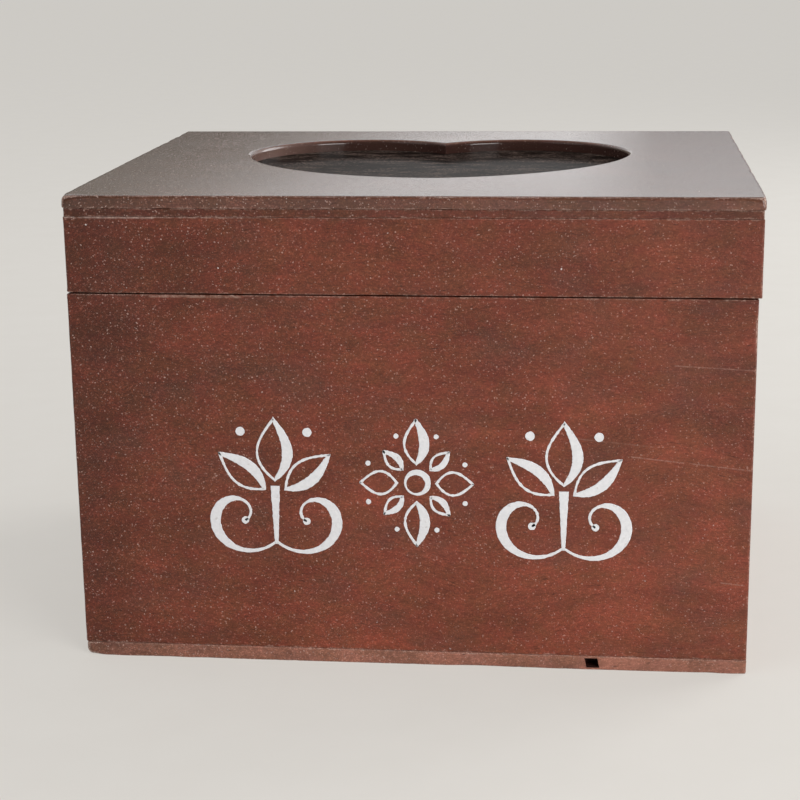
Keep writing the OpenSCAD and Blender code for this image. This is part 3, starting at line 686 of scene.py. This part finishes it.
# Rails of the lid
# The lid's four sides, 18 mm high, of the same board and with the same rebated corners as the body.
rail_arris = (0.2 * mm, 0.5 * mm, 0.15 * mm)
lid_sides = ("lid_left_rail", "lid_right_rail")
rail_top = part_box("lid_front_rail")[1].z / mm
rail_marks = [mark((-79.7, rail_top), (-58.7, rail_top - 0.1), 0.45, 0.45, "cdbbb0"),
              mark((-66.0, rail_top), (-40.0, rail_top), 0.3, 0.4, "b39c90")]
for name, node, seed, marks in (("lid_front_board", "lid_front_rail", 61.0, rail_marks),
                                ("lid_back_board", "lid_back_rail", 71.0, ())):
    board = lapped_board(name, node, lid_sides, rail_arris, 0.7 * mm, seed, marks=marks)
    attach(board, "lid")
    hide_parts(node)
for name, node, seed in (("lid_left_board", "lid_left_rail", 83.0),
                         ("lid_right_board", "lid_right_rail", 97.0)):
    low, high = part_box(node)
    board = worn_board(name, low, high, (0.2 * mm, 0.15 * mm, 0.15 * mm), 0.5 * mm)
    stained_pine(board, 1, (low, high), seed=seed)
    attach(board, "lid")
    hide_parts(node)

# Spacer frame
# A 2 mm frame between the rails and the top board. The pane lies in its opening. Its outer edge lies a hair
# back from the rails' faces, so the top board shades it.
low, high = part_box("lid_spacer_frame")
spacer = worn_board("spacer_board", low, high, (0.2 * mm, 0.4 * mm, 0.2 * mm), 0.5 * mm)
pane_low, pane_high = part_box("glass_pane")
pane_play = Vector((0.5 * mm, 0.5 * mm, mm))
cut(spacer, block(pane_low - pane_play, pane_high + pane_play))
stained_pine(spacer, 0, (low, high), dust=0.7, seed=103.0, tone="6a3528")
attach(spacer, "lid")
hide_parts("lid_spacer_frame")

# Pane
# Window glass, 2 mm thick, under years of kitchen dust: clear from straight above, and nearly covered when it
# is seen along its face, because the dust lies on top of it. The dust is painted from near-black to dark
# brown, as painted shade of the box's dark inside under the pane.
pane = bpy.data.materials.new("dusty_shaded_window_glass")
pane.use_nodes = True
tree = pane.node_tree
tree.nodes.clear()
place = add(tree, "TexCoord").outputs["Object"]
place = add(tree, "VectorMath", {0: place, "Scale": 1 / mm}, operation="SCALE")
wiped = add(tree, "VectorMath", {0: place, 1: (1 / 9, 1 / 4, 1.0)}, operation="MULTIPLY")
smears = add(tree, "TexNoise", {"Vector": wiped, "Scale": 1.0, "Detail": 5.0, "Roughness": 0.7})
specks = add(tree, "TexNoise", {"Vector": place, "Scale": 1 / 0.9, "Detail": 3.0, "Roughness": 0.8})
dusty = add(tree, "Math", {0: smears, 1: specks}, operation="ADD")
cover = add(tree, "MapRange", {
    "Value": dusty, "From Min": 0.75, "From Max": 1.25, "To Min": 0.25, "To Max": 0.75})
slant = add(tree, "LayerWeight", {"Blend": 0.5}).outputs["Facing"]
cover = add(tree, "Math", {0: cover, 1: slant}, operation="MAXIMUM")
# Painted shade: the streaky dust is coloured near-black to dark brown, far darker than dust.
dust_and_shade_colour = add(tree, "MapRange", {"Value": dusty, "From Min": 0.92, "From Max": 1.16})
dust_and_shade_colour = add(tree, "Mix", {
    "Factor": dust_and_shade_colour, "A": linear("100a08"), "B": linear("50433c")}, data_type="RGBA")
dust_and_shade_layer = add(tree, "BsdfDiffuse", {"Color": dust_and_shade_colour, "Roughness": 1.0})
glass = add(tree, "BsdfPrincipled", {
    "Base Color": linear("eef2f0"), "Roughness": 0.12, "IOR": 1.5, "Transmission Weight": 1.0})
both = add(tree, "MixShader", {0: cover, 1: glass, 2: dust_and_shade_layer})
add(tree, "OutputMaterial", {"Surface": both})
dress(pane, "glass_pane")

# Top board
# A 3 mm board over the pane with the heart-shaped window sawn out of it and rounded over by hand. It took
# more lacquer than the rest, so it is the glossiest part of the box.
low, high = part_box("lid_top_board")
knocks = [(Vector((low.x, low.y, high.z)), 3 * mm, 1.0 * mm),
          (Vector((high.x, low.y, high.z)), 3 * mm, 0.7 * mm)]
top_board = worn_board("top_board", low, high, (0.2 * mm, 0.5 * mm, 0.5 * mm), 0.8 * mm, dents=knocks)
lobe_r, lobe_x, heart_length, side_r = 29.6 * mm, 21 * mm, 50.6 * mm, 56 * mm
point_r, point_x, rim_r = 8 * mm, 3 * mm, 1.1 * mm
heart_centre = Vector((0.5 * mm, 15.3 * mm))
point_centre = Vector((point_x, point_r - heart_length))


def tangent_centre(side):
    """Centre of the long arc that runs smoothly from a lobe into the blunt point."""
    lobe = Vector((side * lobe_x, 0))
    to_point = point_centre - lobe
    gap = to_point.length
    lobe_reach, point_reach = side_r - lobe_r, side_r - point_r
    along = (lobe_reach ** 2 - point_reach ** 2 + gap ** 2) / (2 * gap)
    across = math.sqrt(lobe_reach ** 2 - along ** 2)
    forward = to_point / gap
    return lobe + along * forward - side * across * Vector((-forward.y, forward.x))


def heart(outward):
    """The window's outline, grown outward: two lobes, two long sides and a blunt point, tangent but at the
    cleft."""
    lobes = {side: Vector((side * lobe_x, 0)) for side in (-1, 1)}
    sides = {side: tangent_centre(side) for side in (-1, 1)}

    def heading(start, end):
        return math.degrees(math.atan2(end.y - start.y, end.x - start.x))

    cleft = math.degrees(math.acos(lobe_x / (lobe_r + outward)))
    right, left = heading(sides[1], lobes[1]), heading(sides[-1], lobes[-1])
    point_right, point_left = heading(sides[1], point_centre), heading(sides[-1], point_centre)
    arcs = ((lobes[1], lobe_r, right, 180 - cleft, 90), (lobes[-1], lobe_r, cleft, left + 360, 90),
            (sides[-1], side_r, left, point_left, 36), (point_centre, point_r, point_left, point_right, 16),
            (sides[1], side_r, point_right, right, 36))
    places = []
    for centre, radius, start, end, count in arcs:
        for i in range(count):
            angle = math.radians(start + (end - start) * i / count)
            places.append(centre + (radius + outward) * Vector((math.cos(angle), math.sin(angle))))
    return places


cutter = bmesh.new()
rim_steps = 8
levels = [(low.z - mm, 0)]
for i in range(rim_steps + 1):
    angle = math.radians(90 * i / rim_steps)
    levels.append((high.z + rim_r * (math.sin(angle) - 1), rim_r * (1 - math.cos(angle))))
levels.append((high.z + mm, rim_r))
rings = []
for z, outward in levels:
    places = [place + heart_centre for place in heart(outward)]
    rings.append([cutter.verts.new((place.x, place.y, z)) for place in places])
for under, upper in zip(rings, rings[1:]):
    for i, vert in enumerate(under):
        j = (i + 1) % len(under)
        cutter.faces.new((vert, under[j], upper[j], upper[i]))
cutter.faces.new(rings[0][::-1])
cutter.faces.new(rings[-1])
cut(top_board, finished("cutter", cutter))
for face in top_board.data.polygons:
    face.use_smooth = True
top_board.data.set_sharp_from_angle(angle=math.radians(40))
top_board.modifiers.new("flat faces stay flat", "WEIGHTED_NORMAL").keep_sharp = True
stained_pine(top_board, 0, (low, high), sheen=0.1, gloss=0.5, dust=0.9, relief=0.35, seed=127.0,
             tone="6a4135")
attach(top_board, "lid")
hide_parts("lid_top_board")

# Hinges and their screws
# Two butt hinges of rolled brass sheet on the back, each with five knuckles on a peened pin. Four countersunk
# brass screws hold each one. They are dull from handling, with bright lines along the rolling.
brass = metal("rolled_brass", "c29d58", "7c5c31", 0.28, (0.2, 3, 3))
dress(brass, "hinge_left_body_leaf", "hinge_right_body_leaf", "hinge_left_lid_leaf", "hinge_right_lid_leaf",
      "hinge_left_pin", "hinge_right_pin")
dress(metal("turned_brass", "cfab66", "86673a", 0.24, (3, 3, 3)), "body_hinge_screws", "lid_hinge_screws")

# The studio
# A plain pale floor, a pale room, a large soft lamp at the right, a weaker one at the left, a window behind
# at the right, and the photograph's viewpoint.
floor_mesh = bmesh.new()
bmesh.ops.create_grid(floor_mesh, x_segments=1, y_segments=1, size=6)
floor = finished("floor", floor_mesh)
paper = bpy.data.materials.new("pale_floor")
paper.use_nodes = True
tree = paper.node_tree
tree.nodes.clear()
place = add(tree, "TexCoord").outputs["Object"]
mottle = add(tree, "TexNoise", {"Vector": place, "Scale": 60.0, "Detail": 4.0})
colour = add(tree, "Mix", {"Factor": mottle, "A": linear("ddd8d0"), "B": linear("e6e2db")}, data_type="RGBA")
shader = add(tree, "BsdfDiffuse", {"Color": colour})
seen = add(tree, "LightPath").outputs["Is Camera Ray"]
glow = add(tree, "Emission", {"Color": linear("e8e4dd"), "Strength": 1.0})
share = add(tree, "Math", {0: seen, 1: 0.55}, operation="MULTIPLY")
both = add(tree, "MixShader", {0: share, 1: shader, 2: glow})
add(tree, "OutputMaterial", {"Surface": both})
floor.data.materials.append(paper)

world = bpy.data.worlds.new("pale_room")
world.use_nodes = True
bpy.context.scene.world = world
tree = world.node_tree
tree.nodes.clear()
rays = add(tree, "LightPath").outputs
seen = add(tree, "Math", {0: rays["Is Camera Ray"], 1: rays["Is Transmission Ray"]}, operation="MAXIMUM")
heading = add(tree, "SeparateXYZ", {0: add(tree, "TexCoord").outputs["Generated"]}).outputs

# Glossy surfaces mirror a pale wall at the back, which fades to the left and, low down, to the right.
# Its heights are sines of the angle above the horizon.
wall_foot, wall_top, wall_lean = 0.105, 0.142, 2.3
slanting = add(tree, "Math", {0: heading["Z"], 1: wall_lean, 2: heading["X"]}, operation="MULTIPLY_ADD")
dim = add(tree, "MapRange", {
    "Value": heading["Z"], "From Min": 0.108, "From Max": wall_top, "To Min": 0.12, "To Max": 0.36})
wall_share = add(tree, "MapRange", {"Value": slanting, "From Min": 0.118, "From Max": wall_top})
bright = add(tree, "MapRange", {
    "Value": heading["Z"], "From Min": wall_foot, "From Max": wall_top, "To Min": 1.3, "To Max": 1.08})
wall_light = add(tree, "Mix", {"Factor": wall_share, "A": dim, "B": bright}, data_type="FLOAT")
low_down = add(tree, "MapRange", {
    "Value": heading["Z"], "From Min": wall_foot, "From Max": wall_top, "To Min": 0.3, "To Max": 0.93})
faded = add(tree, "MapRange", {"Value": heading["X"], "From Min": -0.02, "From Max": 0.025})
faded = add(tree, "Mix", {"Factor": faded, "A": 1.0, "B": low_down}, data_type="FLOAT")
wall_light = add(tree, "Math", {0: wall_light, 1: faded}, operation="MULTIPLY")
wall_colour = add(tree, "Mix", {
    "Factor": wall_share, "A": linear("fbefdc"), "B": linear("fbfbfb")}, data_type="RGBA")
wall_colour = add(tree, "VectorMath", {0: wall_colour, "Scale": wall_light}, operation="SCALE")
facing_wall = add(tree, "MapRange", {"Value": heading["Y"], "From Min": -0.2, "From Max": 0.7})
mirrored = add(tree, "Mix", {
    "Factor": facing_wall, "A": linear("454240"), "B": wall_colour}, data_type="RGBA")
ambient = add(tree, "Mix", {
    "Factor": rays["Is Glossy Ray"], "A": linear("b9bbbf"), "B": mirrored}, data_type="RGBA")
light = add(tree, "Mix", {"Factor": seen, "A": ambient, "B": linear("e9e7e4")}, data_type="RGBA")
background = add(tree, "Background", {"Color": light, "Strength": 1.0})
add(tree, "OutputWorld", {"Surface": background})

aim = Vector((0.02, -0.03, 0.05))
for name, spot, width, power in (("key", (0.6, -0.7, 0.3), 0.5, 4.8), ("fill", (-0.9, -0.6, 0.9), 0.9, 1.6),
                                 ("window", (0.75, 0.55, 0.45), 0.6, 5.0)):
    lamp = bpy.data.lights.new(name, "AREA")
    lamp.size = width
    lamp.energy = power
    holder = bpy.data.objects.new(name, lamp)
    holder.location = spot
    holder.rotation_euler = (Vector(spot) - aim).to_track_quat("Z", "Y").to_euler()
    bpy.context.scene.collection.objects.link(holder)

camera = bpy.data.cameras.new("camera")
camera.sensor_width = 36
camera.lens = 83.94
viewpoint = bpy.data.objects.new("camera", camera)
standpoint = Vector((45.2 * mm, -486 * mm, 173.7 * mm))
yaw, pitch, roll = (math.radians(angle) for angle in (6.39, -14.37, 0.73))
turn = Matrix.Rotation(yaw, 4, "Z") @ Matrix.Rotation(pitch, 4, "X") @ Matrix.Rotation(roll, 4, "Y")
level = Matrix.Rotation(math.radians(90), 4, "X")
viewpoint.matrix_world = Matrix.Translation(standpoint) @ turn @ level
bpy.context.scene.collection.objects.link(viewpoint)
bpy.context.scene.camera = viewpoint
bpy.context.scene.view_settings.view_transform = "Standard"
